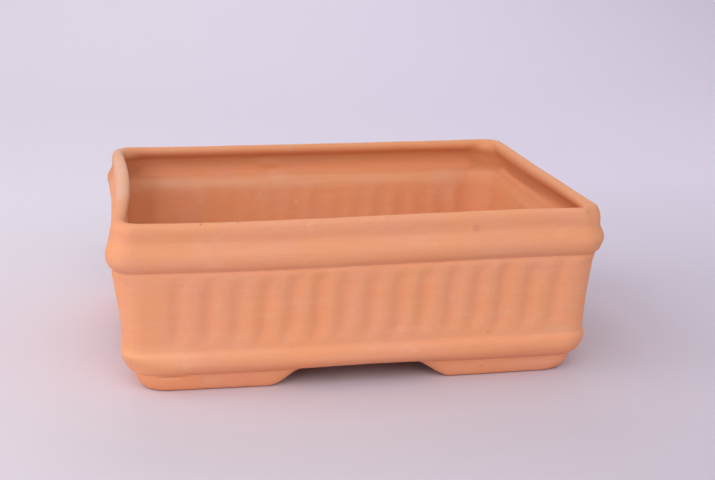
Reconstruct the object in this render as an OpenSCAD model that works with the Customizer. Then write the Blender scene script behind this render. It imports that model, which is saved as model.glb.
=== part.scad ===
// Rectangular terracotta bonsai pot: a rim collar over a fluted wall, a bead round the base,
// a drained floor, and four corner feet with an arch between each pair.
// Origin: on the table, under the middle of the pot. +X is the length, +Z is up, the front is -Y.
// Insets are measured inwards from the outermost line of the pot, which is the upper bead.

/* [Overall size] */
// Length over the upper bead
pot_length = 250; // [200:1:320]
// Depth over the upper bead
pot_depth = 200; // [160:1:260]
// Height from the table to the top of the lip
pot_height = 89.5; // [76:1:110]

/* [Rim collar] */
// Height of the collar, from the crease under the bead to the top of the lip
rim_height = 24.5; // [20:0.5:26]
// Inset of the lip's outside above the bead
lip_inset = 2.4; // [1.5:0.1:3.5]
// Height of the bead's crown above the crease
bead_rise = 7.3; // [5:0.1:8]
// How far the bead stands out over the wall at the crease
bead_overhang = 0.4; // [0.2:0.1:1]
// Radius of the hollow behind the bead
recess_radius = 8; // [6:0.5:10]
// Depth of the hollow behind the bead
recess_depth = 1.8; // [1:0.1:2.5]
// Inside radius of the collar's corners, at the lip
lip_inside_corner = 5.6; // [4:0.1:10]

/* [Fluted wall] */
// Thickness of the clay in the lip and the wall
clay = 6; // [5:0.5:8]
// Inset of the wall's outside under the bead
wall_inset_top = 3.6; // [3:0.1:5]
// Inset of the wall's outside where it meets the base moulding
wall_inset_bottom = 7.8; // [6:0.1:9.5]
// Inside radius of the wall's corners, at the floor
inside_corner = 4; // [3:0.5:8]

/* [Flutes] */
// Spacing of the flutes
flute_pitch = 13.5; // [11:0.5:18]
// Width of a flute
flute_width = 8; // [6:0.5:10]
// Depth of a flute
flute_depth = 1.2; // [0.6:0.1:2]
// Plain wall left above the flutes
flute_gap_top = 3.5; // [2:0.5:6]
// Plain wall left below the flutes
flute_gap_bottom = 6.5; // [3:0.5:9]
// Plain wall left at each corner, from the outermost line to the first flute
plain_corner = 30; // [26:1:45]

/* [Base moulding] */
// Height of the base moulding
base_height = 13.5; // [12:0.5:18]
// Inset of the base bead's crown
base_bead_inset = 6; // [5:0.1:7]

/* [Floor] */
// Thickness of the floor
floor_thickness = 7; // [5:0.5:9]
// Radius of the fillet between the floor and the wall
cove_radius = 4; // [1:0.5:8]
// Diameter of a drain hole
drain_diameter = 18; // [10:1:24]
// Distance between the centres of the two drain holes
drain_spacing = 120; // [60:1:130]

/* [Feet] */
// Height of the feet
foot_height = 10; // [8:0.5:14]
// Inset of a foot where it meets the moulding
foot_inset_top = 12.3; // [12:0.1:13]
// Inset of a foot at the table
foot_inset_bottom = 16; // [14:0.1:17]
// Radius of a foot's lower outside edge
foot_edge_radius = 1.5; // [0.5:0.1:2]
// Inset of the inner face of a foot
foot_inset_inner = 27; // [24:0.5:34]
// Length of a foot along the front or the back
foot_length_long = 65; // [45:1:70]
// Length of a foot along an end
foot_length_end = 48; // [35:1:50]
// Length over which an arch rises from the table
arch_slope = 14; // [8:1:18]
// Thickness left at the tip of a foot, under the arch
foot_tip = 0.6; // [0.4:0.1:1.5]

/* [Hidden] */
terracotta = "#df9670";
terracotta_foot = "#d88c66";

// Heights of the seams above the table
base_z = foot_height;
wall_z = base_z + base_height;
neck_z = pot_height - rim_height;
wall_height = neck_z - wall_z;

// Insets of the corner centres, so that the inside corners keep their own radii
rim_corner = lip_inset + clay + lip_inside_corner;
floor_inset = wall_inset_bottom + clay;
body_corner = floor_inset + inside_corner;

// A foot's corner centres follow the moulding's, unless the foot leans in further than that
foot_corner = max(body_corner, foot_inset_bottom + foot_edge_radius);

// The upper bead is an arc from its crown down to the crease; the lip has a round top
bead_in = wall_inset_top - bead_overhang;
bead_radius = (pow(bead_in, 2) + pow(bead_rise, 2)) / (2 * bead_in);
bead_z = neck_z + bead_rise;
lip_radius = clay / 2;
lip_z = pot_height - lip_radius;

// The base bead is the arc whose crown has the bead's inset, and that starts at the top of the
// foot and ends at the bottom of the wall
base_bead_lower = foot_inset_top - base_bead_inset;
base_bead_upper = wall_inset_bottom - base_bead_inset;
base_bead_skew = 1 - base_bead_upper / base_bead_lower;
base_bead_rise = (base_height - sqrt(
    pow(base_height, 2)
    - base_bead_skew * (pow(base_height, 2) - base_bead_upper * (base_bead_lower - base_bead_upper))
)) / base_bead_skew;
base_bead_radius = (pow(base_bead_lower, 2) + pow(base_bead_rise, 2)) / (2 * base_bead_lower);

// A flute is part of a cylinder that lies along the leaning wall
wall_lean = atan((wall_inset_bottom - wall_inset_top) / wall_height);
flute_radius = (pow(flute_width / 2, 2) + pow(flute_depth, 2)) / (2 * flute_depth);
flute_height = wall_height - flute_gap_top - flute_gap_bottom;
flute_axis = flute_height - flute_width;
flute_rise = flute_gap_bottom + flute_height / 2;
flute_inset = wall_inset_bottom - flute_rise * tan(wall_lean);

cove = min(cove_radius, inside_corner);
arch_half_long = pot_length / 2 - foot_inset_bottom - foot_length_long;
arch_half_end = pot_depth / 2 - foot_inset_bottom - foot_length_end;
arch_steps = 8;

// Extra length of a cutter past the face that it cuts
overcut = 1;
// Fineness of the beads, and of the small rounds
bead_facets = 96;
small_facets = 48;

// Half the pot's size across side 0 (right), 1 (back), 2 (left) or 3 (front)
function half_across(side) = (side % 2 == 0 ? pot_length : pot_depth) / 2;
// Half the pot's size along that side
function half_along(side) = (side % 2 == 0 ? pot_depth : pot_length) / 2;
// How many flutes fit along that side
function flute_count(side) = floor(2 * (half_along(side) - plain_corner) / flute_pitch) + 1;
// Height of an arch's flank at a share of its slope: an ogee, flat at both ends
function arch_rise(share) = (foot_height - foot_tip) * (1 - cos(180 * share)) / 2;

// Turns a profile of inset and height into one of distance from a centre and height
module from_centre(distance) {
    translate([distance, 0])
        mirror([1, 0])
            children();
}

// Carries a profile of inset and height round the pot, with quarter-round corners
module band(corner) {
    for (side = [0:3]) {
        rotate([0, 0, 90 * side])
            rotate([90, 0, 0])
                linear_extrude(2 * (half_along(side) - corner), center = true)
                    from_centre(half_across(side))
                        children();
        rotate([0, 0, 90 * side])
            translate([half_across(side) - corner, half_along(side) - corner, 0])
                rotate_extrude(angle = 90, $fn = bead_facets)
                    from_centre(corner)
                        children();
    }
}

// An upright block that fills the pot's plan, in from the outermost line
module plan_block(inset, height) {
    translate([inset - pot_length / 2, inset - pot_depth / 2, 0])
        cube([pot_length - 2 * inset, pot_depth - 2 * inset, height]);
}

// Rounded lip, upper bead and the hollow behind the bead
module rim_profile() {
    difference() {
        union() {
            translate([lip_inset, neck_z])
                square([clay, lip_z - neck_z]);
            translate([lip_inset + lip_radius, lip_z])
                circle(r = lip_radius, $fn = small_facets);
            intersection() {
                translate([bead_radius, bead_z])
                    circle(r = bead_radius, $fn = bead_facets);
                translate([0, neck_z])
                    square([lip_inset + lip_radius, rim_height]);
            }
        }
        translate([lip_inset + clay - recess_depth + recess_radius, bead_z])
            circle(r = recess_radius, $fn = bead_facets);
    }
}

module rim_collar() {
    color(terracotta)
        band(rim_corner)
            rim_profile();
}

// Leaning wall of even thickness
module wall_profile() {
    polygon([
        [wall_inset_bottom, wall_z],
        [wall_inset_bottom + clay, wall_z],
        [wall_inset_top + clay, neck_z],
        [wall_inset_top, neck_z]
    ]);
}

// One flute's cutter: a round bar with ball ends, so that the flute fades out at its tips
module flute_cutter() {
    cylinder(r = flute_radius, h = flute_axis, center = true, $fn = small_facets);
    for (tip = [-1, 1])
        translate([0, 0, tip * flute_axis / 2])
            sphere(r = flute_radius, $fn = small_facets);
}

// A row of flutes along each side, centred on it
module flute_cutters() {
    for (side = [0:3]) {
        count = flute_count(side);
        for (i = [0:count - 1])
            rotate([0, 0, 90 * side])
                translate([
                    half_across(side) - flute_inset,
                    (i - (count - 1) / 2) * flute_pitch,
                    wall_z + flute_rise
                ])
                    rotate([0, wall_lean, 0])
                        translate([flute_radius - flute_depth, 0, 0])
                            flute_cutter();
    }
}

module fluted_wall() {
    color(terracotta)
        difference() {
            band(body_corner)
                wall_profile();
            flute_cutters();
        }
}

// Bead that bulges past the wall and tucks in again above the feet
module base_profile() {
    intersection() {
        translate([base_bead_inset + base_bead_radius, base_z + base_bead_rise])
            circle(r = base_bead_radius, $fn = bead_facets);
        translate([0, base_z])
            square([floor_inset, base_height]);
    }
}

// Fillet at the moulding's foot, which rests on the floor
module cove_profile() {
    difference() {
        translate([floor_inset, base_z + floor_thickness])
            square(cove);
        translate([floor_inset + cove, base_z + floor_thickness + cove])
            circle(r = cove, $fn = small_facets);
    }
}

module base_moulding() {
    color(terracotta)
        band(body_corner) {
            base_profile();
            cove_profile();
        }
}

// Flat plate with rounded corners that fills the moulding
module floor_plate() {
    for (side = [0:3])
        rotate([0, 0, 90 * side])
            translate([half_across(side) - body_corner, half_along(side) - body_corner, base_z])
                cylinder(r = inside_corner, h = floor_thickness, $fn = small_facets);
    for (widen = [[inside_corner, 0], [0, inside_corner]])
        translate([
            body_corner - pot_length / 2 - widen[0],
            body_corner - pot_depth / 2 - widen[1],
            base_z
        ])
            cube([
                pot_length - 2 * body_corner + 2 * widen[0],
                pot_depth - 2 * body_corner + 2 * widen[1],
                floor_thickness
            ]);
}

module floor_slab() {
    color(terracotta)
        difference() {
            floor_plate();
            for (end = [-1, 1])
                translate([end * drain_spacing / 2, 0, base_z - overcut])
                    cylinder(d = drain_diameter, h = floor_thickness + 2 * overcut, $fn = bead_facets);
        }
}

// Outside of a foot: leaning in towards the table, with a rounded lower edge
module foot_profile() {
    intersection() {
        union() {
            polygon([
                [foot_inset_top, foot_height],
                [foot_inset_bottom, foot_edge_radius],
                [foot_corner, foot_edge_radius],
                [foot_corner, foot_height]
            ]);
            translate([foot_inset_bottom + foot_edge_radius, foot_edge_radius])
                circle(r = foot_edge_radius, $fn = small_facets);
            translate([foot_inset_bottom + foot_edge_radius, 0])
                square([foot_corner, foot_height]);
        }
        square([foot_corner, foot_height]);
    }
}

// The frame that all four feet are cut from
module foot_frame() {
    band(foot_corner)
        foot_profile();
    difference() {
        plan_block(foot_corner, foot_height);
        translate([0, 0, -overcut])
            plan_block(foot_inset_inner, foot_height + 2 * overcut);
    }
}

// Cuts an arch right through the frame along Y; half is its half width at the table
module arch_cutter(half, reach) {
    flank = [for (i = [0:arch_steps]) [half - arch_slope * i / arch_steps, arch_rise(i / arch_steps)]];
    right = concat([[half, -overcut]], flank, [[half - arch_slope, foot_height + overcut]]);
    left = [for (i = [len(right) - 1:-1:0]) [-right[i][0], right[i][1]]];
    rotate([90, 0, 0])
        linear_extrude(2 * (reach + overcut), center = true)
            polygon(concat(right, left));
}

// One corner foot; side_x and side_y are -1 or 1
module foot(side_x, side_y) {
    color(terracotta_foot)
        difference() {
            intersection() {
                foot_frame();
                translate([
                    side_x < 0 ? -pot_length / 2 : 0,
                    side_y < 0 ? -pot_depth / 2 : 0,
                    0
                ])
                    cube([pot_length / 2, pot_depth / 2, foot_height]);
            }
            arch_cutter(arch_half_long, pot_depth / 2);
            rotate([0, 0, 90])
                arch_cutter(arch_half_end, pot_length / 2);
        }
}

module foot_front_left() {
    foot(-1, -1);
}

module foot_front_right() {
    foot(1, -1);
}

module foot_back_left() {
    foot(-1, 1);
}

module foot_back_right() {
    foot(1, 1);
}

rim_collar();
fluted_wall();
base_moulding();
floor_slab();
foot_front_left();
foot_front_right();
foot_back_left();
foot_back_right();
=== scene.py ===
"""The looks of a rectangular terracotta bonsai pot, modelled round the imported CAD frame.

The pot is one slip casting. Its regions are closed meshes that meet face to face at its own
creases. Each is skinned over level outlines in millimetres, and then moved as the soft clay moved:
the sides bow, the rim waves and sags, and the flutes show on both faces of the wall.
"""

import logging
import math
import random
from dataclasses import dataclass, field
from enum import Enum
from typing import NamedTuple, Optional, Sequence, Union

import bmesh
import bpy
from mathutils import Matrix, Vector, noise


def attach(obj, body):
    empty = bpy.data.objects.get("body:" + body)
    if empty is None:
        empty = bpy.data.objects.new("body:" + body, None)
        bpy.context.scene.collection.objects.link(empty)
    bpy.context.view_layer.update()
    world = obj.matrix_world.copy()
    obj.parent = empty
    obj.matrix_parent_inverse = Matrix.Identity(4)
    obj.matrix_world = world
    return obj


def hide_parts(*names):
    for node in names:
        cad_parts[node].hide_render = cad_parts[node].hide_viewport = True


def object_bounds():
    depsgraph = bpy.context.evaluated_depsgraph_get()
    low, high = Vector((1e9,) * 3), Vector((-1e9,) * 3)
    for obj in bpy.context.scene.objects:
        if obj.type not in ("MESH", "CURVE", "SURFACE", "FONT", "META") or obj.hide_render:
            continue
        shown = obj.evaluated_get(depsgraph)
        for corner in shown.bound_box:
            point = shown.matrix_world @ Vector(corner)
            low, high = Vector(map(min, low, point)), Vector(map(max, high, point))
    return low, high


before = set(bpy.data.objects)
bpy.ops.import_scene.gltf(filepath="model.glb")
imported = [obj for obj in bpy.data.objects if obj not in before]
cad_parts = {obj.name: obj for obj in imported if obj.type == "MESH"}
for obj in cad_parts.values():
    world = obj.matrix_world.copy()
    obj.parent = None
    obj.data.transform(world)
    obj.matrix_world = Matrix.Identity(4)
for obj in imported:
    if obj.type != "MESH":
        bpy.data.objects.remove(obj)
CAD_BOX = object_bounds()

LOG = logging.getLogger("bonsai_pot")
MM = 0.001
BODY = "root"
INNER = "inner"
GROOVE = "groove"
SHARP = math.radians(38)
SAME_PLACE = 1e-4
MERGED = 1e-3

Object = bpy.types.Object
Mesh = bmesh.types.BMesh
Edges = list[bmesh.types.BMEdge]
Pieces = list[Object]
Pair = tuple[float, float]
Triple = tuple[float, float, float]
Knots = Sequence[Pair]
Colour = tuple[float, float, float, float]


# ---- the casting's form


def smooth(value: float, low: float, high: float) -> float:
    """Rises smoothly from 0 at low to 1 at high."""
    share = min(max((value - low) / (high - low), 0.0), 1.0)
    return share * share * (3 - 2 * share)


def curve_through(knots: Knots, steps: int) -> Knots:
    """Runs a smooth curve through given knots.

    Args:
        knots: Points that the curve passes through, in order.
        steps: How many stretches a span between two knots is cut into.

    Returns:
        Points along a Catmull-Rom curve, both ends included.
    """
    line = [Vector(knot) for knot in (knots[0], *knots, knots[-1])]
    points = []
    for p0, p1, p2, p3 in zip(line, line[1:], line[2:], line[3:]):
        for step in range(steps):
            t = step / steps
            bend = (2 * p0 - 5 * p1 + 4 * p2 - p3) * t**2 + (3 * p1 - p0 - 3 * p2 + p3) * t**3
            points.append(tuple((2 * p1 + (p2 - p0) * t + bend) / 2))
    return points + [tuple(knots[-1])]


def read_off(table: Knots, place: float) -> float:
    """Reads a table, straight between its rows and level beyond its ends.

    Args:
        table: Rising places and their values.
        place: Where to read it.

    Returns:
        The value there.
    """
    for (low, under), (high, over) in zip(table, table[1:]):
        if place <= high:
            return under + (over - under) * max(place - low, 0.0) / (high - low)
    return table[-1][1]


def add_object(name: str, data: bpy.types.ID) -> Object:
    """Adds a mesh, a light or a camera to the scene.

    Args:
        name: Name of the object.
        data: The mesh, light or camera.

    Returns:
        The new object.
    """
    added = bpy.data.objects.new(name, data)
    bpy.context.scene.collection.objects.link(added)
    return added


def add_mesh(name: str, mesh: Mesh, material: bpy.types.Material) -> Object:
    """Finishes a bmesh, smooth but for its sharp edges, and adds it to the scene.

    Args:
        name: Name of the mesh and of its object.
        mesh: The bmesh, which is freed.
        material: What it is made of.

    Returns:
        The new object.
    """
    bmesh.ops.recalc_face_normals(mesh, faces=mesh.faces)
    for face in mesh.faces:
        face.smooth = True
    for edge in mesh.edges:
        edge.smooth = edge.calc_face_angle(0) < SHARP
    data = bpy.data.meshes.new(name)
    mesh.to_mesh(data)
    mesh.free()
    data.materials.append(material)
    return add_object(name, data)


class Side(Enum):
    """A side of the pot, as the index of the axis that crosses it and that axis's sign there."""

    FRONT = (1, -1)
    RIGHT = (0, 1)
    BACK = (1, 1)
    LEFT = (0, -1)

    @property
    def across(self) -> int:
        """Index of the axis that crosses the side."""
        return self.value[0]

    @property
    def along(self) -> int:
        """Index of the axis that runs along the side."""
        return 1 - self.value[0]

    @property
    def sign(self) -> int:
        """Sign of the crossing axis on this side."""
        return self.value[1]


@dataclass(frozen=True)
class PotSize:
    """Overall size of the pot, in millimetres.

    Attributes:
        length, depth: Its size over the upper bead.
        height: Height from the table to the top of the lip.
    """

    length: float
    depth: float
    height: float

    @classmethod
    def from_box(cls, box: tuple[Vector, Vector]) -> "PotSize":
        """Reads the size off the CAD model's box, whose corners are in metres."""
        low, high = box
        return cls(*((high[axis] - low[axis]) / MM for axis in range(3)))

    def half(self, axis: int) -> float:
        """Half the size along axis 0 (length) or 1 (depth)."""
        return (self.length, self.depth)[axis] / 2

    def reach(self, point: Vector, side: Side) -> float:
        """How far out towards a side a point lies, from 0 at the middle to 1 at the side."""
        return max(point[side.across] * side.sign / self.half(side.across), 0.0)


@dataclass(frozen=True)
class Slack:
    """How one side of the soft casting moved before it was fired, in millimetres.

    Attributes:
        bow, wave: Inward bow of the rim, most at the middle of the side, and inward push of its
            further half against its nearer half.
        base_bow, base_wave: The same for the base.
        lean: Heights, and how far in the whole side leans there.
        sag, lift: How far the rim sinks at its middle, and rises on its further half.
    """

    bow: float = 0.0
    wave: float = 0.0
    base_bow: float = 0.0
    base_wave: float = 0.0
    lean: Knots = ((0.0, 0.0),)
    sag: float = 0.0
    lift: float = 0.0


@dataclass(frozen=True)
class Slump:
    """The moves of the whole soft casting: four slack sides and a slightly uneven surface.

    Attributes:
        front, right, back, left: How each side moved.
        grip: How quickly a side's move dies away towards the middle of the pot.
        ripple, ripple_width: Size of the slow unevenness of the surface, and its spacing.
        dimple, dimple_width: The same for the finer unevenness.
        standing: Heights over which the surface starts to wave up and down, as the feet stand flat.
        seed: Start of the random unevenness.
    """

    front: Slack = Slack(bow=0.9, wave=0.3, base_bow=-4.1, base_wave=-0.2, sag=0.8, lift=1.25)
    right: Slack = Slack(
        bow=0.4, wave=-0.2, base_bow=-0.5, base_wave=0.8, sag=0.25, lift=0.27,
        lean=((0, -0.3), (23, -0.1), (62, 0.3), (67, 0.05), (75, -0.4), (89.5, 0.6)),
    )
    back: Slack = Slack(bow=0.35, sag=1, lift=0.06)
    left: Slack = Slack(
        bow=4.55, base_bow=-0.5, base_wave=0.07, sag=0.4, lift=-0.38,
        lean=((0, 0.3), (23, -0.1), (62, -0.75), (67, 0), (75, -0.25), (89.5, 1.6)),
    )
    grip: int = 4
    ripple: float = 0.22
    ripple_width: float = 52.0
    dimple: float = 0.07
    dimple_width: float = 13.0
    standing: Pair = (1.0, 14.0)
    seed: int = 3

    def slack(self, side: Side) -> Slack:
        """How the given side moved."""
        return getattr(self, side.name.lower())

    def move(self, point: Vector, pot: PotSize) -> Vector:
        """Works out how far a point of the casting moved.

        Args:
            point: The point before the move.
            pot: Size of the pot.

        Returns:
            The move, in millimetres.
        """
        rise = point.z / pot.height
        rough = noise.noise_vector(point / self.ripple_width) * self.ripple
        rough += noise.noise_vector(point / self.dimple_width) * self.dimple
        rough.z *= smooth(point.z, *self.standing)
        for side in Side:
            slack, grip = self.slack(side), pot.reach(point, side) ** self.grip
            share = min(max(point[side.along] / pot.half(side.along), -1.0), 1.0)
            middle = 1 - share * share
            wave = 2 * share * middle
            inward = (slack.bow * middle + slack.wave * wave) * rise
            inward += (slack.base_bow * middle + slack.base_wave * wave) * (1 - rise)
            inward += read_off(slack.lean, point.z)
            rough[side.across] -= side.sign * inward * grip
            rough.z += (slack.lift * wave - slack.sag * middle) * rise * grip
        return rough


class Flute(NamedTuple):
    """One upright groove: its place along the side, its depth, its lean, its top and its bottom."""

    centre: float
    depth: float
    lean: float
    top: float
    bottom: float


@dataclass
class Flutes:
    """The grooves pressed into each side of the wall, which show in relief on its inner face.

    Attributes:
        pitch, half_width: Distance between two grooves, and half the width of one.
        depth, end_depth: How deep a groove is, and a fainter one of the two short sides.
        top, bottom: Heights between which a groove runs.
        fade: Height over which its end dies away.
        middle: Height at which its place is given.
        front_nudges: Given moves of the front's grooves along the side.
        nudge: Largest random move of another side's groove.
        front_centre, centre: Where the middle of the front's row lies, and of another side's.
        fewer: How many grooves fewer a short side has.
        leans: Lean of a row's first and of its last groove.
        spread: Least and most that a groove's depth and lean are multiplied by, and that its top
            and bottom are raised by.
        inner_share: How much of a groove's depth shows on the inner face.
        seed: Start of the random differences between grooves.
        rows: The grooves of each side.
    """

    pitch: float = 13.45
    half_width: float = 6.0
    depth: float = 1.45
    end_depth: float = 0.25
    top: float = 65.0
    bottom: float = 25.0
    fade: float = 9.0
    middle: float = 46.0
    front_nudges: tuple[float, ...] = (
        -0.8, 0.8, 1.3, 1.1, 1.0, 0.5, -0.4, -0.1, 0.1, -0.9, -0.2, -0.7, -0.9, -0.3, 0.3)
    nudge: float = 0.8
    front_centre: float = 4.7
    centre: float = -1.3
    fewer: int = 4
    leans: Pair = (0.055, 0.06)
    spread: Knots = ((0.8, 1.15), (0.7, 1.3), (-1.5, 1.0), (-1.0, 1.5))
    inner_share: float = 0.42
    seed: int = 7
    rows: dict[Side, list[Flute]] = field(default_factory=dict)

    def __post_init__(self) -> None:
        """Lays out the grooves of the four sides."""
        dice = random.Random(self.seed)
        for side in Side:
            long = side.along == 0
            nudges, centre = self.front_nudges, self.front_centre
            if side is not Side.FRONT:
                count = len(self.front_nudges) - (0 if long else self.fewer)
                nudges = tuple(dice.uniform(-self.nudge, self.nudge) for _ in range(count))
                centre = self.centre
            last, depth = len(nudges) - 1, self.depth if long else self.end_depth
            self.rows[side] = []
            for index, nudge in enumerate(nudges):
                lean = self.leans[0] + (self.leans[1] - self.leans[0]) * (index / last)
                deeper, steeper, higher, lifted = (dice.uniform(*limits) for limits in self.spread)
                along = centre + (index - last / 2) * self.pitch + nudge
                self.rows[side].append(Flute(
                    along, depth * deeper, lean * steeper, self.top + higher, self.bottom + lifted))

    def press(self, side: Side, along: float, height: float) -> float:
        """How far in the grooves of a side press the wall.

        Args:
            side: The side of the pot.
            along, height: Place along the side, and height above the table.

        Returns:
            The inward move in millimetres.
        """
        pressed = 0.0
        for flute in self.rows[side]:
            centre = flute.centre + flute.lean * (height - self.middle)
            off = abs(along - centre) / self.half_width
            if off < 1:
                shape = 0.5 + 0.5 * math.cos(math.pi * off)
                ends = smooth(height, flute.bottom, flute.bottom + self.fade)
                ends *= 1 - smooth(height, flute.top - self.fade, flute.top)
                pressed += flute.depth * shape * ends
        return pressed


class Lump(NamedTuple):
    """A small lump or hollow in the clay: where it lies, how far it reaches, how it is pushed."""

    centre: Triple
    radii: Triple
    push: Triple

    def move(self, point: Vector) -> Vector:
        """How far the lump moves a point."""
        off = sum(((point[axis] - self.centre[axis]) / self.radii[axis]) ** 2 for axis in range(3))
        return Vector(self.push) * math.exp(-off)


class Station(NamedTuple):
    """One level outline of the casting: how far in it lies, how high, and its corners' radius."""

    inset: float
    height: float
    radius: float


@dataclass(frozen=True)
class Profile:
    """The cross-section of the pot's side: one smooth line over the lip, as insets and heights.

    Attributes:
        outside: Knots from the table up to the lip's top.
        inside: Knots from there down to the floor's cove.
        outer_corners, inner_corners: Heights, and how far in the corners' centres lie there.
        divide: Heights, and the insets that divide the outside from the inside there. The feet
            are all outside.
        blend: Half the width over which one passes into the other.
        tightest: Smallest radius of a corner.
        steps: Stretches between two knots.
    """

    outside: Knots = (
        (19, 0), (17.2, 0.15), (16, 0.8), (15.2, 1.9), (14.6, 3.2), (13.9, 4.9), (13.35, 6.6),
        (12.95, 8.1), (12.85, 9), (12.85, 9.5), (12.3, 10), (11.2, 10.6), (9.6, 11.6), (8.2, 13.2),
        (7, 15.2), (6.4, 17.3), (6.3, 19.3), (6.55, 20.9), (7.15, 22), (7.6, 22.8), (7.85, 23.5),
        (7.9, 24.5), (7.85, 25.8), (7.6, 29), (7.3, 33), (6.9, 37), (6.5, 41), (6, 45),
        (5.5, 49), (4.9, 53), (4.3, 57), (3.85, 60.5), (3.65, 62.6), (3.8, 63.8), (3.9, 64.5),
        (3.75, 65), (3, 65.8), (1.9, 67), (1, 68.7), (0.45, 70.8), (0.45, 72.8), (0.85, 74.6),
        (1.55, 76.3), (2.35, 78), (2.8, 79.6), (2.7, 81.6), (2.35, 83.6), (2.2, 85.6), (2.35, 87.1),
        (2.85, 88.1), (3.7, 88.7),
    )
    inside: Knots = (
        (5.2, 88.95), (6.7, 88.7), (7.8, 88.1), (8.4, 87), (8.4, 85.8), (8, 84.6), (7.2, 83.4),
        (6.3, 82.3), (5.6, 81.1), (5.2, 79.7), (5, 78), (4.9, 76.2), (4.85, 74.6), (4.95, 72.9),
        (5.4, 71.2), (6.6, 69.3), (8.2, 67.3), (9.6, 65), (10.1, 63.2), (10.4, 61.2), (10.6, 59),
        (10.9, 55.5), (11.3, 51.5), (11.7, 47), (12.2, 42), (12.6, 37), (13, 32),
        (13.5, 27.5), (13.8, 23.5), (13.8, 21.5),
    )
    outer_corners: Knots = (
        (0, 29.9), (10, 22.2), (18, 20.9), (23.5, 18), (60, 18.3), (67, 13.4), (88, 15.5),
    )
    inner_corners: Knots = (
        (10, 26), (65, 25.5), (78, 25), (82.5, 24), (85.5, 19), (88.8, 15.5),
    )
    divide: Knots = ((9.9, 99), (10, 13.1), (23.5, 10.8), (65, 6.5), (80, 4.4), (86, 6.2))
    blend: float = 0.8
    tightest: float = 1.6
    steps: int = 2

    def outer(self, low: float, high: float) -> list[Station]:
        """The outer face between two heights, upwards."""
        return self._outlines(self._between(0, len(self.outside), low, high), self.outer_corners)

    def inner(self, high: float, low: float) -> list[Station]:
        """The inner face between two heights, downwards."""
        first = len(self.outside)
        return self.hidden(self._between(first, first + len(self.inside), low, high))

    def hidden(self, knots: Knots) -> list[Station]:
        """Outlines of a given stretch of the inner face."""
        return self._outlines(knots, self.inner_corners)

    def _between(self, first: int, last: int, low: float, high: float) -> Knots:
        """Runs the curve through all knots and keeps a part of it.

        Args:
            first, last: The part's first knot, and the knot after its last.
            low, high: Lowest and highest height that is kept.

        Returns:
            The part's points, as insets and heights.
        """
        curve = curve_through((*self.outside, *self.inside), self.steps)
        points = curve[first * self.steps:last * self.steps]
        return [point for point in points if low - SAME_PLACE <= point[1] <= high + SAME_PLACE]

    def _outlines(self, knots: Knots, corners: Knots) -> list[Station]:
        """Gives each inset and height its corner radius."""
        return [
            Station(inset, height, max(read_off(corners, height) - inset, self.tightest))
            for inset, height in knots
        ]


@dataclass
class Casting:
    """What every region of the pot shares: its size, its slump, its flutes and its finish.

    Attributes:
        pot, clay: Its size and its material.
        profile: The side's cross-section.
        seams: Heights at which the feet, the base, the wall and the collar meet.
        slump, flutes: How the soft casting moved, and the grooves of its wall.
        lumps: Small lumps of slip, chips, and places where the lip is taller or wider.
        spacing: Distance between the vertices along a side.
        corner_segments: Facets of one rounded corner.
    """

    pot: PotSize
    clay: bpy.types.Material
    profile: Profile = Profile()
    seams: Triple = (10.0, 23.5, 65.0)
    slump: Slump = Slump()
    flutes: Flutes = field(default_factory=Flutes)
    lumps: tuple[Lump, ...] = (
        Lump((124, 45, 79.2), (20, 62, 5.5), (0, 0, -4.4)),
        Lump((117, -92, 87), (3.5, 20, 6), (-2.2, 0, 0)),
        Lump((-116.6, 0, 86), (4, 80, 5), (1.2, 0, 0)),
        Lump((8, -88, 9.5), (42, 10, 5), (0, 0, 0.95)),
        Lump((-113, -89, 14.5), (14, 14, 4.5), (1.5, 1.2, 0)),
        Lump((108, -84, 4), (12, 12, 5), (1.1, -0.5, 0)),
        Lump((120, -95, 81.5), (9, 9, 3.5), (0.8, -0.5, 0)),
        Lump((120, -95, 88), (9, 9, 2.2), (-0.8, 0.5, 0)),
        Lump((120, -95, 69), (9, 9, 2.6), (-0.7, 0.5, 0)),
        Lump((-25, 94, 77), (6, 6, 2.4), (0, -0.8, 0)),
        Lump((-9, 89, 52.6), (2, 6, 2), (0, -0.5, 0)),
        Lump((-28.7, -97.6, 88), (1.6, 2, 1.4), (0, 0.35, -0.35)),
    )
    spacing: float = 1.3
    corner_segments: int = 12

    def __post_init__(self) -> None:
        """Fixes the random unevenness, which Blender would otherwise draw anew in each run."""
        noise.seed_set(self.slump.seed)

    def innerness(self, point: Vector) -> float:
        """Says how far a point belongs to the inside of the pot.

        Args:
            point: The point, before the clay has settled.

        Returns:
            A share, from 0 outside to 1 inside.
        """
        insets = [self.pot.half(axis) - abs(point[axis]) for axis in range(2)]
        centre, inset = read_off(self.profile.outer_corners, point.z), min(insets)
        if max(insets) < centre:
            inset = centre - math.hypot(*(centre - one for one in insets))
        divide, blend = read_off(self.profile.divide, point.z), self.profile.blend
        return smooth(inset, divide - blend, divide + blend)

    def pressed(self, point: Vector) -> tuple[Side, float]:
        """Says how far the flutes press a point in.

        Args:
            point: The point, before the clay has settled.

        Returns:
            The side that it belongs to, and the push in millimetres.
        """
        side = max(Side, key=lambda one: point[one.across] * one.sign - self.pot.half(one.across))
        relief = 1 - (1 - self.flutes.inner_share) * self.innerness(point)
        return side, self.flutes.press(side, point[side.along], point.z) * relief

    def settle(self, point: Vector) -> Vector:
        """Moves a point as the soft clay moved.

        Args:
            point: The point, before the clay has settled.

        Returns:
            Where it comes to lie, in millimetres.
        """
        side, pressed = self.pressed(point)
        moved = point + self.slump.move(point, self.pot)
        moved[side.across] -= side.sign * pressed
        for lump in self.lumps:
            moved += lump.move(point)
        return moved


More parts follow.
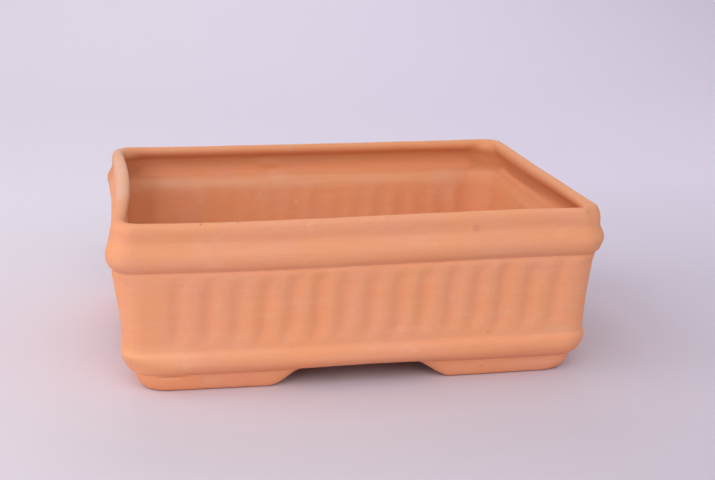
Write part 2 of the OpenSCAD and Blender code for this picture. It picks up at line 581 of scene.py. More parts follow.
class Loft:
    """Clay skinned over level outlines of the pot, in millimetres."""

    def __init__(self, casting: Casting, mesh: Optional[Mesh] = None) -> None:
        """Starts with the given mesh, or with an empty one."""
        self.casting = casting
        self.pot = casting.pot
        self.cuts = [round(self.pot.half(axis) * 2 / casting.spacing) | 1 for axis in range(2)]
        self.mesh = mesh or bmesh.new()

    def rounded(self, low: Vector, high: Vector, radius: float) -> Edges:
        """Lays a level rectangle and rounds its corners, but none on the pot's middle line.

        Args:
            low, high: The rectangle's lowest and highest corner.
            radius: Radius of the rounded corners.

        Returns:
            The edges round it.
        """
        size, middle = high - low, (low + high) / 2
        place = Matrix.Translation(middle) @ Matrix.Diagonal((size.x / 2, size.y / 2, 1, 1))
        square = bmesh.ops.create_grid(self.mesh, x_segments=1, y_segments=1, size=1, matrix=place)
        rounded = bmesh.ops.bevel(
            self.mesh, geom=[vert for vert in square["verts"] if abs(vert.co.x) > radius],
            offset=radius, offset_type="OFFSET", segments=self.casting.corner_segments,
            profile=0.5, affect="VERTICES", material=-1,
        )["verts"]
        face = rounded[0].link_faces[0]
        edges = list(face.edges)
        bmesh.ops.delete(self.mesh, geom=[face], context="FACES_ONLY")
        return edges

    def divided(self, edges: Edges, radius: float, cuts: Sequence[int]) -> Edges:
        """Divides the straight edges of an outline.

        Args:
            edges: The outline's edges.
            radius: Radius of its corners.
            cuts: How many cuts an edge along each axis gets.

        Returns:
            The edges of the divided outline.
        """
        divided: dict[bmesh.types.BMEdge, None] = {}
        for edge in edges:
            run = edge.verts[1].co - edge.verts[0].co
            number = sum(cuts[axis] for axis in range(2)
                         if abs(run[1 - axis]) < SAME_PLACE and abs(run[axis]) > 2 * radius)
            if number:
                parts = bmesh.ops.subdivide_edges(self.mesh, edges=[edge], cuts=number)
                found = parts["geom_inner"] + parts["geom_split"]
                divided.update(dict.fromkeys(e for e in found if isinstance(e, bmesh.types.BMEdge)))
            else:
                divided[edge] = None
        return list(divided)

    def outline(self, station: Station) -> Edges:
        """Lays one closed outline of the pot.

        Args:
            station: Where it lies.

        Returns:
            Its edges.
        """
        half = Vector([self.pot.half(axis) - station.inset for axis in range(2)] + [0])
        level = Vector((0, 0, station.height))
        edges = self.rounded(level - half, level + half, station.radius)
        return self.divided(edges, station.radius, self.cuts)

    def skin(self, stations: Sequence[Station], closed: bool = False) -> None:
        """Lays an outline at each station and bridges each to the next.

        Args:
            stations: The outlines, in order.
            closed: Whether the last is bridged back to the first.
        """
        outlines = [self.outline(station) for station in stations]
        pairs = list(zip(outlines, outlines[1:]))
        if closed:
            pairs.append((outlines[-1], outlines[0]))
        for one, other in pairs:
            bmesh.ops.bridge_loops(self.mesh, edges=one + other)

    def close(self) -> None:
        """Merges doubled vertices."""
        bmesh.ops.remove_doubles(self.mesh, verts=self.mesh.verts, dist=MERGED)

    def to_piece(self, name: str, node: str) -> Object:
        """Settles the clay, and makes a piece of it that stands for a CAD node.

        Args:
            name: Name of the piece.
            node: The CAD node that it replaces.

        Returns:
            The finished piece.
        """
        layers = self.mesh.verts.layers.float
        inner, groove = layers.new(INNER), layers.new(GROOVE)
        for vert in self.mesh.verts:
            vert[inner] = self.casting.innerness(vert.co)
            vert[groove] = self.casting.pressed(vert.co)[1] / self.casting.flutes.depth
            vert.co = self.casting.settle(vert.co)
        bmesh.ops.scale(self.mesh, vec=(MM, MM, MM), verts=self.mesh.verts)
        piece = add_mesh(name, self.mesh, self.casting.clay)
        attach(piece, BODY)
        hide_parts(node)
        return piece


@dataclass
class Region:
    """A region of the casting, and what the regions share."""

    casting: Casting

    def band(self, node: str, low: float, high: float, inside: Optional[Knots] = None) -> Pieces:
        """Builds a closed band of clay round the pot.

        Args:
            node: The CAD node that it replaces.
            low, high: Heights between which it lies.
            inside: Knots of its inner face, downwards, where the profile has none.

        Returns:
            The finished piece, alone in a list.
        """
        loft, profile = Loft(self.casting), self.casting.profile
        inner = profile.hidden(inside) if inside else profile.inner(high, low)
        loft.skin([*profile.outer(low, high), *inner], closed=True)
        loft.close()
        return [loft.to_piece(f"{node}_clay", node)]


@dataclass
class RimCollar(Region):
    """The collar round the mouth: a bead, a hollow, the lip, and the recess and ledge inside."""

    def build(self) -> Pieces:
        """Builds the collar."""
        return self.band("rim_collar", self.casting.seams[2], math.inf)


@dataclass
class FlutedWall(Region):
    """The flaring wall between the mouldings, whose flutes show on both faces."""

    def build(self) -> Pieces:
        """Builds the wall."""
        return self.band("fluted_wall", *self.casting.seams[1:])


@dataclass
class BaseMoulding(Region):
    """The round moulding at the foot of the wall.

    Attributes:
        inside: Insets and heights of the inner face, which the floor meets, downwards.
    """

    inside: Knots = ((13.8, 23.5), (13.8, 21.5), (13.8, 16), (13.8, 10))

    def build(self) -> Pieces:
        """Builds the moulding."""
        return self.band("base_moulding", *self.casting.seams[:2], self.inside)


@dataclass
class PotFloor(Region):
    """The floor with its cove and two drain holes.

    Attributes:
        inset: Where the floor meets the base moulding.
        middle: Height of the knot between the underside and the cove.
        cove: Knots from the moulding's inner face down to the level floor.
        top, underside: Heights of the floor's two faces.
        drain_radius, drain_place: Radius of a drain hole, and how far it lies from the middle.
        rounding: Rounding of a hole's upper and lower edge.
        turns: Degrees at which that rounding is divided.
        spokes: Cuts across the floor between the outline and a hole.
        halving_cuts: Cuts along the line between the floor's two halves.
    """

    inset: float = 13.8
    middle: float = 16.0
    cove: Knots = ((13.8, 21.5), (14, 20.2), (14.8, 18.7), (16.3, 17.5), (18.4, 17.05), (21, 17))
    top: float = 17.0
    underside: float = 10.0
    drain_radius: float = 9.0
    drain_place: float = 60.0
    rounding: float = 1.0
    turns: tuple[float, ...] = (22.5, 45.0, 67.5, 90.0)
    spokes: int = 16
    halving_cuts: int = 60

    def build(self) -> Pieces:
        """Builds the floor.

        Returns:
            The finished piece, alone in a list.
        """
        loft = Loft(self.casting)
        side = [(self.inset, self.underside), (self.inset, self.middle)]
        side += curve_through(self.cove, self.casting.profile.steps)
        stations = self.casting.profile.hidden(side)
        loft.skin(stations)
        for sign in (-1, 1):
            upper = self._half_plate(loft, stations[-1], sign)
            lower = self._half_plate(loft, stations[0], sign)
            self._drain(loft, upper, lower, sign)
        loft.close()
        return [loft.to_piece("floor_clay", "floor_slab")]

    def _half_plate(self, loft: Loft, station: Station, sign: int) -> Edges:
        """Lays half of a level plate, between its outline and a drain hole.

        Args:
            loft: The floor's loft.
            station: The plate's outline.
            sign: 1 for the right half, -1 for the left.

        Returns:
            The edges round the hole.
        """
        pot, (inset, height, radius) = self.casting.pot, station
        far, side = sign * (pot.half(0) - inset), pot.half(1) - inset
        low = Vector((min(far, 0), -side, height))
        high = Vector((max(far, 0), side, height))
        edges = loft.rounded(low, high, radius)
        halving = [e for e in edges if all(abs(v.co.x) < SAME_PLACE for v in e.verts)]
        rest = [e for e in edges if e not in halving]
        outline = loft.divided(rest, radius, ((loft.cuts[0] - 1) // 2, loft.cuts[1]))
        outline += loft.divided(halving, 0.0, (0, self.halving_cuts))
        hole = self._ring(loft, len(outline), self.rounding, height, sign)
        sheet = bmesh.ops.bridge_loops(loft.mesh, edges=outline + hole)
        bmesh.ops.subdivide_edges(
            loft.mesh, edges=sheet["edges"], cuts=self.spokes, use_grid_fill=True)
        return hole

    def _drain(self, loft: Loft, upper: Edges, lower: Edges, sign: int) -> None:
        """Joins the two faces of the floor through a drain hole with rounded edges.

        Args:
            loft: The floor's loft.
            upper, lower: Edges round the hole in the floor's two faces.
            sign: 1 for the right hole, -1 for the left.
        """
        turns = [math.radians(turn) for turn in self.turns]
        stations = [(self.rounding * (1 - math.sin(turn)), self.rounding * (1 - math.cos(turn)))
                    for turn in turns]
        down = [(out, self.top - drop) for out, drop in stations]
        up = [(out, self.underside + drop) for out, drop in reversed(stations)]
        rings = [self._ring(loft, len(upper), out, height, sign) for out, height in down + up]
        for one, other in zip([upper, *rings], [*rings, lower]):
            bmesh.ops.bridge_loops(loft.mesh, edges=one + other)

    def _ring(self, loft: Loft, segments: int, out: float, height: float, sign: int) -> Edges:
        """Lays a ring round a drain hole.

        Args:
            loft: The floor's loft.
            segments: How many edges it has.
            out: How much larger than the hole it is.
            height: Its height.
            sign: 1 for the right hole, -1 for the left.

        Returns:
            Its edges.
        """
        ring = bmesh.ops.create_circle(
            loft.mesh, segments=segments, radius=self.drain_radius + out,
            matrix=Matrix.Translation((sign * self.drain_place, 0, height)))["verts"]
        return list({edge: None for vert in ring for edge in vert.link_edges})


class ArchEnd(NamedTuple):
    """One end of the arch between two feet.

    Attributes:
        top: How far from the middle of the side the arch reaches its full height.
        bottom: How far from the middle it reaches the table.
        straight: How straight the flank is, from 0 for an ogee to 1 for a plain slope.
    """

    top: float
    bottom: float
    straight: float = 0.0

    def stand(self, along: float) -> float:
        """How much of the foot's height stands at a place along the side, from 0 to 1."""
        share = min(max((along - self.top) / (self.bottom - self.top), 0.0), 1.0)
        return share * self.straight + smooth(share, 0, 1) * (1 - self.straight)


@dataclass
class Feet(Region):
    """The four L-shaped feet that the arches leave at the corners.

    Attributes:
        inside: Knots of the feet's hidden inner side, down to the table.
        long_arch, short_arch: Ends of the long sides' arch, left and right, and of the short ones'.
        tip: Share of its height that a foot keeps at its thin tip.
    """

    inside: Knots = ((27, 10), (27, 1.3), (26.6, 0.3), (25.5, 0), (23, 0))
    long_arch: tuple[ArchEnd, ArchEnd] = (ArchEnd(26.7, 46.4), ArchEnd(27.8, 46.2, 0.6))
    short_arch: ArchEnd = ArchEnd(22.0, 38.0)
    tip: float = 0.03

    def build(self) -> Pieces:
        """Builds the four feet.

        Returns:
            The finished pieces.
        """
        ring, profile, top = Loft(self.casting), self.casting.profile, self.casting.seams[0]
        ring.skin(profile.outer(0.0, top) + profile.hidden(self.inside), closed=True)
        ring.close()
        for vert in ring.mesh.verts:
            vert.co.z = top - (top - vert.co.z) * self._stand(vert.co)
        feet = []
        for depth in (Side.FRONT, Side.BACK):
            for side in (Side.LEFT, Side.RIGHT):
                foot = Loft(self.casting, ring.mesh.copy())
                self._cut_out(foot.mesh, side.sign, depth.sign)
                node = f"foot_{depth.name}_{side.name}".lower()
                feet.append(foot.to_piece(f"{node}_clay", node))
        ring.mesh.free()
        return feet

    def _stand(self, point: Vector) -> float:
        """How much of the feet's height stands at a point, from the tip's share to 1."""
        stand = self.long_arch[point.x >= 0].stand(abs(point.x))
        return self.tip + (1 - self.tip) * stand * self.short_arch.stand(abs(point.y))

    def _cut_out(self, mesh: Mesh, side_sign: int, depth_sign: int) -> None:
        """Cuts one foot out of the ring of feet and closes its two tips.

        Args:
            mesh: The whole ring.
            side_sign: 1 for a right foot, -1 for a left foot.
            depth_sign: 1 for a back foot, -1 for a front foot.
        """
        cuts = (((side_sign, 0, 0), self.long_arch[side_sign > 0].top),
                ((0, depth_sign, 0), self.short_arch.top))
        for outward, distance in cuts:
            bmesh.ops.bisect_plane(
                mesh, geom=mesh.verts[:] + mesh.edges[:] + mesh.faces[:], dist=SAME_PLACE,
                plane_co=Vector(outward) * distance, plane_no=outward, clear_inner=True,
            )
            rim = [edge for edge in mesh.edges if edge.is_boundary]
            bmesh.ops.holes_fill(mesh, edges=rim, sides=0)


# ---- the clay's finish


Term = Union["Wire", float, tuple]


class Wire:
    """One output socket of a shader, which Python's operators turn into Math nodes."""

    def __init__(self, shader: "Shader", socket: Optional[bpy.types.NodeSocket]) -> None:
        """Remembers the socket and the shader that it is in."""
        self.shader = shader
        self.socket = socket

    def _math(self, operation: str, one: Term, other: Term) -> "Wire":
        """Adds one Math node."""
        return self.shader.node("ShaderNodeMath", {0: one, 1: other}, operation=operation)

    def __add__(self, other: Term) -> "Wire":
        """self + other"""
        return self._math("ADD", self, other)

    def __radd__(self, other: Term) -> "Wire":
        """other + self"""
        return self._math("ADD", other, self)

    def __sub__(self, other: Term) -> "Wire":
        """self - other"""
        return self._math("SUBTRACT", self, other)

    def __rsub__(self, other: Term) -> "Wire":
        """other - self"""
        return self._math("SUBTRACT", other, self)

    def __mul__(self, other: Term) -> "Wire":
        """self * other"""
        return self._math("MULTIPLY", self, other)

    def __rmul__(self, other: Term) -> "Wire":
        """other * self"""
        return self._math("MULTIPLY", other, self)


class Shader:
    """The nodes of one material or of the world."""

    def __init__(self, owner: Union[bpy.types.Material, bpy.types.World]) -> None:
        """Empties the owner's node tree and lays its object coordinates."""
        owner.use_nodes = True
        self.tree = owner.node_tree
        self.tree.nodes.clear()
        self.place = self.node("ShaderNodeTexCoord", output="Object")

    def node(self, kind: str, sockets: Optional[dict] = None, output: Union[int, str] = 0,
             **settings: Union[str, bool]) -> Wire:
        """Adds a node, sets it and links it.

        Args:
            kind: The node's type.
            sockets: Values or wires for its inputs, by name or number.
            output: The output socket that is wanted.
            settings: Its settings, by name.

        Returns:
            The wanted output.
        """
        node = self.tree.nodes.new(kind)
        for name, value in settings.items():
            setattr(node, name, value)
        for key, value in (sockets or {}).items():
            if isinstance(value, Wire):
                self.tree.links.new(value.socket, node.inputs[key])
            else:
                node.inputs[key].default_value = value
        return Wire(self, node.outputs[output] if node.outputs else None)

    def axis(self, index: int) -> Wire:
        """One of the object coordinates."""
        return self.node("ShaderNodeSeparateXYZ", {0: self.place}, index)

    def layer(self, name: str) -> Wire:
        """What a layer of the mesh holds."""
        return self.node("ShaderNodeAttribute", output="Fac", attribute_name=name)

    def blend(self, share: Term, one: Term, other: Term, how: str = "MIX") -> Wire:
        """Mixes one colour with another, of which it takes the share."""
        return self.node("ShaderNodeMix", {0: share, 6: one, 7: other}, 2,
                         data_type="RGBA", blend_type=how, clamp_factor=True)

    def tinted(self, colour: Wire, share: Term, tint: Triple) -> Wire:
        """Multiplies a colour by a tint, where and as far as the share says."""
        return self.blend(share, colour, (*tint, 1.0), "MULTIPLY")

    def step(self, value: Term, low: float, high: float) -> Wire:
        """A smooth step of a value, from 0 at low to 1 at high."""
        return self.span(value, low, high, how="SMOOTHSTEP")

    def span(self, value: Term, low: float, high: float, to_low: float = 0.0,
             to_high: float = 1.0, how: str = "LINEAR") -> Wire:
        """A value's range, stretched to another range and clamped."""
        sockets = {0: value, 1: low, 2: high, 3: to_low, 4: to_high}
        return self.node("ShaderNodeMapRange", sockets, interpolation_type=how)

    def cloud(self, per_metre: float, detail: float = 2.0, rough: float = 0.5,
              stretch: float = 1.0) -> Wire:
        """Makes soft noise.

        Args:
            per_metre: Blotches to a metre.
            detail, rough: How many finer layers it has, and how strong they are.
            stretch: How much longer than tall the blotches are.

        Returns:
            Noise from 0 to 1.
        """
        place, squeezed = self.place, (1 / stretch, 1 / stretch, 1.0)
        if stretch != 1.0:
            place = self.node("ShaderNodeMapping", {"Vector": place, "Scale": squeezed})
        return self.node("ShaderNodeTexNoise", {
            "Vector": place, "Scale": per_metre, "Detail": detail, "Roughness": rough})

    def cells(self, per_metre: float) -> Wire:
        """Distances to the nearest of many scattered points."""
        return self.node("ShaderNodeTexVoronoi", {"Vector": self.place, "Scale": per_metre})


def paint(*channels: int) -> Colour:
    """Turns red, green and blue from 0 to 255 into the linear values that sockets take."""
    shares = [channel / 255 for channel in channels]
    return (*(s / 12.92 if s <= 0.04045 else ((s + 0.055) / 1.055) ** 2.4 for s in shares), 1.0)


@dataclass(frozen=True)
class Mark:
    """A stain, speck or smear on the clay, or a patch of painted shade or painted highlight.

    Attributes:
        centre, radii: Where it lies and how far it reaches along each axis, in millimetres.
        tint: What it multiplies the clay's colour by.
        edge: Where it fades, in shares of the radii.
    """

    centre: Triple
    radii: Triple
    tint: Triple
    edge: Pair = (1.15, 0.6)

    def share(self, shader: Shader) -> Wire:
        """Says how far a point lies in the mark.

        Args:
            shader: The clay's shader.

        Returns:
            A share, from 0 outside to 1 inside.
        """
        scale = tuple(1 / (radius * MM) for radius in self.radii)
        off = tuple(-at * MM * times for at, times in zip(self.centre, scale))
        near = shader.node(
            "ShaderNodeMapping", {"Vector": shader.place, "Location": off, "Scale": scale})
        distance = shader.node("ShaderNodeVectorMath", {0: near}, "Value", operation="LENGTH")
        return shader.step(distance, *self.edge)


class Zone(NamedTuple):
    """A tint between two heights, for the clay's own colour and for painted shade.

    Attributes:
        tint: What it multiplies the clay's colour by.
        rise: Heights in metres over which it comes, from where it is absent to where it is full.
        fall: Heights over which it goes again, if it does.
    """

    tint: Triple
    rise: Pair
    fall: Optional[Pair] = None

    def share(self, shader: Shader) -> Wire:
        """How far a point lies in the zone."""
        come = shader.step(shader.axis(2), *self.rise)
        return come * shader.step(shader.axis(2), *self.fall) if self.fall else come


class Mottle(NamedTuple):
    """Blotches: how many to a metre, their detail, where they start and fill, how strong."""

    per_metre: float
    detail: float
    rough: float
    low: float
    high: float
    strength: float = 1.0

    def share(self, shader: Shader) -> Wire:
        """How far a point lies in a blotch."""
        cloud = shader.cloud(self.per_metre, self.detail, self.rough)
        return shader.step(cloud, self.low, self.high) * self.strength


class Specks(NamedTuple):
    """Small round specks: how many to a metre, how large beside their spacing, how strong."""

    per_metre: float
    reach: float
    strength: float = 1.0

    def share(self, shader: Shader) -> Wire:
        """How far a point lies in a speck."""
        return shader.step(shader.cells(self.per_metre), self.reach, self.reach / 2) * self.strength


@dataclass(frozen=True)
class Terracotta:
    """Unglazed fired clay: soft mottling, wiped streaks, fine grain, pits and pale specks.

    Attributes:
        orange, pink, pale, deep: The clay, its pinker patches, its dusty bloom, its darker spots.
        gloss: How strongly it reflects.
        roughness: Where its noise starts and ends, and how matte the clay is there.
        rough_cloud: That noise's blotches to a metre, and its detail.
        patches, bloom, grain: Its mottling in pink, pale and deep.
        streaks: Level streaks to a metre of height, how much longer than tall they are, how strong.
        pale_specks, deep_specks: Its specks.
        streak_look: The streaks' detail, and how rough it is.
        wiped: Where the dustiest and the cleanest streaks are full, and their tints.
        groove, hollow: Tints of the grooves, which dust hasn't reached, and painted shade that
            darkens the whole inside.
        collar, foot: Tints of the collar, and of the clay low down, which is lighter there.
        recess, ledge: Painted shade in the recess under the lip's overhang, and the tint of the
            dusty ledge below.
        ledge_end: How far to the right the ledge's dust reaches, in metres, from nothing to all.
        relief: Heights in metres of the grain, the wiped streaks and the lumps, and their clouds.
        pits: Depth of the pits in metres, how many to a metre, and where they start and end.
        bump: How strongly all of it shows.
        marks: Single blemishes, and a few patches of painted shade and painted highlight.
    """

    orange: Colour = paint(236, 160, 116)
    pink: Colour = paint(235, 161, 123)
    pale: Colour = paint(240, 185, 156)
    deep: Colour = paint(200, 120, 76)
    gloss: float = 0.35
    roughness: tuple[float, ...] = (0.3, 0.7, 0.74, 0.88)
    rough_cloud: Pair = (240, 3)
    patches: Mottle = Mottle(38, 3, 0.5, 0.38, 0.66)
    bloom: Mottle = Mottle(95, 4, 0.6, 0.55, 0.85, 0.35)
    grain: Mottle = Mottle(1400, 2, 0.5, 0.56, 0.75, 0.2)
    streaks: tuple[Triple, ...] = ((90, 9, 0.55), (330, 16, 0.5), (900, 20, 0.45))
    pale_specks: Specks = Specks(120, 0.05)
    deep_specks: Specks = Specks(90, 0.04, 0.7)
    streak_look: Pair = (3, 0.6)
    wiped: tuple[tuple[float, Triple], ...] = ((0.72, (1.0, 1.07, 1.13)), (0.28, (0.99, 0.94, 0.9)))
    groove: Triple = (1.02, 0.985, 0.975)
    # painted shade over the whole inside of the pot
    hollow: Triple = (0.9, 0.92, 0.89)
    collar: Zone = Zone((0.955, 0.955, 0.955), (0.062, 0.07))
    # lighter towards the bottom
    foot: Zone = Zone((1.06, 1.045, 1.04), (0.03, 0.004))
    # painted shade: the recess is darkened as in the shadow of the overhanging lip
    recess: Zone = Zone((0.8, 0.76, 0.72), (0.068, 0.072), (0.086, 0.082))
    ledge: Zone = Zone((1.0, 1.07, 1.16), (0.06, 0.065), (0.071, 0.067))
    ledge_end: Pair = (0.108, 0.09)
    relief: tuple[tuple[float, ...], ...] = (
        (5e-5, 1500, 3, 0.6), (6e-5, 900, 3, 0.6, 20), (12e-5, 260, 2))
    pits: tuple[float, ...] = (5e-5, 420, 0.05, 0.2)
    bump: float = 0.6
    marks: tuple[Mark, ...] = (
        Mark((55, -98, 81), (2.3, 9, 2.3), (0.92, 0.87, 0.85)),
        Mark((34, -99, 75), (0.6, 9, 0.5), (1.1, 1.3, 1.5)),
        Mark((-79.1, -97, 87.5), (0.5, 9, 0.4), (0.75, 0.65, 0.58)),
        Mark((-61.4, -97, 87.6), (0.6, 9, 0.35), (0.9, 0.83, 0.8)),
        Mark((22, -96, 19), (4.2, 9, 3.6), (1, 1.09, 1.16)),
        Mark((22, -96, 18.2), (2.7, 9, 2.4), (1, 0.93, 0.88)),
        Mark((64, -94, 25.7), (0.6, 9, 0.5), (0.75, 0.65, 0.6)),
        Mark((63, -88, 5.9), (0.6, 9, 0.6), (0.8, 0.7, 0.66)),
        Mark((-95, -88, 7.6), (7, 9, 0.6), (1.05, 1.2, 1.3)),
        # painted shade: a dark line in the crease between the base moulding and the front left foot
        Mark((-94, -88, 9), (9, 9, 0.5), (0.84, 0.76, 0.72)),
        Mark((100, -93, 25), (8, 12, 2.6), (0.97, 1.06, 1.1)),
        Mark((-18, -97, 64.6), (16, 9, 2.2), (1, 1.07, 1.13)),
        Mark((-20, 94, 70), (7, 9, 3.5), (1.02, 1.08, 1.16)),
        Mark((-9, 89, 52.6), (1.5, 9, 1.5), (1.05, 1.12, 1.2)),
        # painted shade in the inside's back left corner, which the left wall shades from the left
        # lamps
        Mark((-116, 88, 60), (26, 32, 34), (0.88, 0.84, 0.74)),
        # painted highlight on the left lip's top and outer face, where light grazes it, partly also
        # paler clay
        Mark((-117.5, 28, 87), (10, 80, 9), (1, 1.27, 1.6)),
        Mark((-75, -88, 4), (30, 12, 6), (0.99, 0.94, 0.9)),
        Mark((117, 0, 66), (8, 92, 5.5), (0.96, 0.91, 0.86)),
        # painted highlight on the front left corner of the base moulding, where the left lamps
        # strike it
        Mark((-102, -92, 18), (24, 14, 10), (1.03, 1.1, 1.1)),
        # pale dust on the inner ribs at the back right, with a painted highlight along them
        Mark((86, 90, 60), (7, 9, 13), (1, 1.06, 1.12)),
        Mark((-72, 94, 66), (34, 9, 5), (1, 1.05, 1.1)),
    )

    def material(self) -> bpy.types.Material:
        """Makes the clay's material.

        Returns:
            The material.
        """
        made = bpy.data.materials.new("terracotta")
        shader = Shader(made)
        rough = shader.span(shader.cloud(*self.rough_cloud), *self.roughness)
        surface = shader.node("ShaderNodeBsdfPrincipled", {
            "Base Color": self._colour(shader), "Roughness": rough,
            "Normal": self._relief(shader), "Specular IOR Level": self.gloss})
        shader.node("ShaderNodeOutputMaterial", {"Surface": surface})
        return made

    def _colour(self, shader: Shader) -> Wire:
        """Makes the clay's colour.

        Args:
            shader: The clay's shader.

        Returns:
            The colour.
        """
        colour = shader.blend(self.patches.share(shader), self.orange, self.pink)
        colour = shader.blend(self.bloom.share(shader), colour, self.pale)
        for per_metre, stretch, strength in self.streaks:
            streak = shader.cloud(per_metre, *self.streak_look, stretch)
            for full, tint in self.wiped:
                share = shader.step(streak, 0.5, full) * strength
                colour = shader.tinted(colour, share, tint)
        colour = shader.blend(self.grain.share(shader), colour, self.deep)
        colour = shader.blend(self.pale_specks.share(shader), colour, self.pale)
        colour = shader.blend(self.deep_specks.share(shader), colour, self.deep)
        inner = shader.layer(INNER)
        outer, dusted = 1 - inner, inner * shader.step(shader.axis(0), *self.ledge_end)
        colour = shader.tinted(colour, shader.layer(GROOVE) * outer, self.groove)
        # painted shade: the inner face is darkened throughout, as the pot's inside lies in shade
        colour = shader.tinted(colour, inner, self.hollow)
        # the recess zone is painted shade under the lip
        for zone, where in ((self.collar, outer), (self.foot, outer),
                            (self.recess, inner), (self.ledge, dusted)):
            colour = shader.tinted(colour, zone.share(shader) * where, zone.tint)
        for mark in self.marks:
            colour = shader.tinted(colour, mark.share(shader), mark.tint)
        return colour

    def _relief(self, shader: Shader) -> Wire:
        """Makes the clay's fine relief.

        Args:
            shader: The clay's shader.

        Returns:
            The surface's normal.
        """
        depth, per_metre, *ends = self.pits
        height = shader.step(shader.cells(per_metre), *ends) * depth
        for lift, *cloud in self.relief:
            height += shader.cloud(*cloud) * lift
        sockets = {"Strength": self.bump, "Distance": 1.0, "Height": height}
        return shader.node("ShaderNodeBump", sockets)


# ---- the studio


class Lamp(NamedTuple):
    """A lamp of the studio: degrees round from the front, degrees up, and watts."""

    turn: float
    rise: float
    watts: float


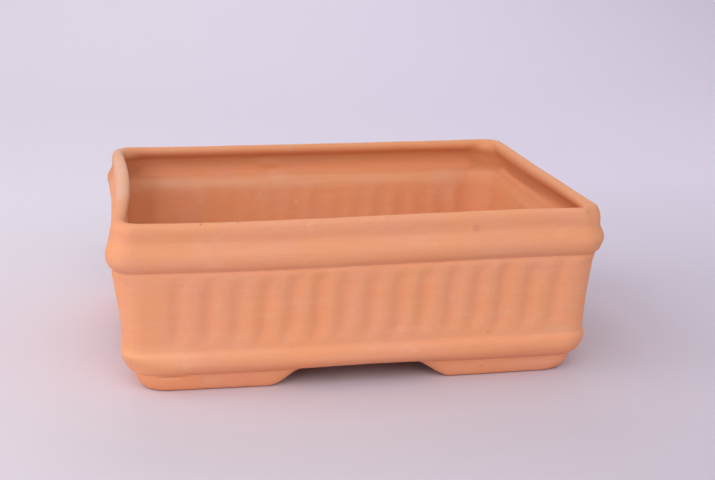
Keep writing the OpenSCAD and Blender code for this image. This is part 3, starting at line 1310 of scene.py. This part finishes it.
@dataclass
class Studio:
    """The sweep that the pot stands on, the lamps and the camera.

    Attributes:
        side_view: The sweep seen from its side, as places and heights in metres.
        half_length: Half its length.
        bend, bend_segments: How far from its corner the floor starts to curve up, and its facets.
        near, far: Colours of the sweep near the camera and far off, each at its left and its right.
            They hold painted light and shade: the near right is darker, as the left lamps' light
            falls off, and the far ones are lighter, lifting the backdrop.
        across, depth: Where the left colour passes into the right one, and the near into the far.
        lamps: The soft lamps.
        lamp_distance, lamp_size: How far each hangs from the pot, and the length of its side.
        lamp_aim: Height of the point that they face.
        surround: How bright the pale surround is.
        camera_place: Where the camera stands, in metres.
        yaw, pitch, roll: How far it is turned to the right, looks down and is tilted, in radians.
        lens: Its focal length on a sensor of the given width.
        sensor: Width of its sensor.
        nearest: Where its view starts.
    """

    side_view: Knots = ((-1.6, 0.0), (1.6, 0.0), (1.9, 2.4))
    half_length: float = 2.5
    bend: float = 0.8
    bend_segments: int = 24
    # painted light and shade: the near right colour is darker and the far colours lighter, standing
    # in for the lamps' falloff
    near: tuple[Colour, Colour] = (paint(221, 212, 223), paint(194, 185, 200))
    far: tuple[Colour, Colour] = (paint(230, 223, 234), paint(228, 220, 238))
    across: Pair = (-0.25, 0.3)
    depth: Pair = (-0.25, 0.35)
    lamps: dict[str, Lamp] = field(default_factory=lambda: {
        "left_low": Lamp(-90, 10, 4.8),
        "left": Lamp(-90, 35, 4.2),
        "left_high": Lamp(-90, 60, 3.3),
        "front_left_low": Lamp(-45, 10, 5.4),
        "front_left": Lamp(-45, 40, 4.5),
        "front": Lamp(0, 40, 8.1),
        "front_right": Lamp(45, 20, 3.9),
        "right": Lamp(90, 35, 2.7),
        "back": Lamp(180, 40, 5.1),
        "back_right": Lamp(140, 40, 2.4),
    })
    lamp_distance: float = 1.6
    lamp_size: float = 1.0
    lamp_aim: float = 0.05
    surround: float = 0.14
    camera_place: Triple = (-0.11191, -0.67924, 0.23715)
    yaw: float = 0.1831
    pitch: float = 0.2633
    roll: float = 0.0118
    lens: float = 64.05
    sensor: float = 36.0
    nearest: float = 0.01

    def build(self) -> None:
        """Builds the sweep, the lamps and the camera."""
        self._sweep()
        self._light()
        self._camera()

    def _sweep(self) -> None:
        """Makes a floor that curves up into the backdrop."""
        mesh = bmesh.new()
        line = [mesh.verts.new((-self.half_length, *knot)) for knot in self.side_view]
        edges = [mesh.edges.new(pair) for pair in zip(line, line[1:])]
        bmesh.ops.bevel(
            mesh, geom=[line[1]], offset=self.bend, offset_type="OFFSET",
            segments=self.bend_segments, profile=0.5, affect="VERTICES", material=-1,
        )
        grown = bmesh.ops.extrude_edge_only(mesh, edges=mesh.edges[:])["geom"]
        bmesh.ops.translate(mesh, vec=(2 * self.half_length, 0, 0),
                            verts=[v for v in grown if isinstance(v, bmesh.types.BMVert)])
        sweep = add_mesh("sweep", mesh, self._paper())

    def _paper(self) -> bpy.types.Material:
        """Makes the sweep's material, plain but for a painted gradient of light.

        Returns:
            The material.
        """
        made = bpy.data.materials.new("paper")
        shader, ways = Shader(made), (self.across, self.depth)
        across, depth = (shader.span(shader.axis(i), *way) for i, way in enumerate(ways))
        # painted falloff of light across the sweep
        near, far = shader.blend(across, *self.near), shader.blend(across, *self.far)
        colour = shader.blend(depth, near, far)
        surface = shader.node("ShaderNodeBsdfDiffuse", {"Color": colour})
        shader.node("ShaderNodeOutputMaterial", {"Surface": surface})
        return made

    def _light(self) -> None:
        """Hangs soft white square lamps that face the pot, and makes a pale surround."""
        aim = Vector((0, 0, self.lamp_aim))
        for name, lamp in self.lamps.items():
            turn, rise = math.radians(lamp.turn), math.radians(lamp.rise)
            level = Vector((math.sin(turn), -math.cos(turn), 0)) * math.cos(rise)
            away = (level + Vector((0, 0, math.sin(rise)))) * self.lamp_distance
            data = bpy.data.lights.new(name, "AREA")
            data.shape, data.size, data.energy = "SQUARE", self.lamp_size, lamp.watts
            hung = add_object(name, data)
            hung.location = aim + away
            hung.rotation_euler = (-away).to_track_quat("-Z", "Y").to_euler()
        world = bpy.context.scene.world = bpy.data.worlds.new("surround")
        shader = Shader(world)
        sockets = {"Color": (1.0, 1.0, 1.0, 1.0), "Strength": self.surround}
        back = shader.node("ShaderNodeBackground", sockets)
        shader.node("ShaderNodeOutputWorld", {"Surface": back})

    def _camera(self) -> None:
        """Places the camera, at the height of someone seated at the table."""
        data = bpy.data.cameras.new("camera")
        data.sensor_width, data.lens, data.clip_start = self.sensor, self.lens, self.nearest
        turns = ((-self.yaw, "Z"), (math.pi / 2 - self.pitch, "X"), (self.roll, "Z"))
        place = Matrix.Translation(self.camera_place)
        for angle, axis in turns:
            place = place @ Matrix.Rotation(angle, 4, axis)
        camera = bpy.context.scene.camera = add_object("camera", data)
        camera.matrix_world = place


# ---- putting it together


def report(piece: Object) -> None:
    """Says in the log what was built."""
    triangles = sum(len(face.vertices) - 2 for face in piece.data.polygons)
    LOG.info("%s: %d triangles, %s m", piece.name, triangles, tuple(piece.dimensions))


def main() -> None:
    """Builds the pot and its studio."""
    logging.basicConfig(level=logging.INFO)
    bpy.context.scene.view_settings.view_transform = "Standard"
    Studio().build()
    casting = Casting(PotSize.from_box(CAD_BOX), Terracotta().material())
    for region in (RimCollar, FlutedWall, BaseMoulding, PotFloor, Feet):
        for piece in region(casting).build():
            report(piece)


if __name__ == "__main__":
    main()
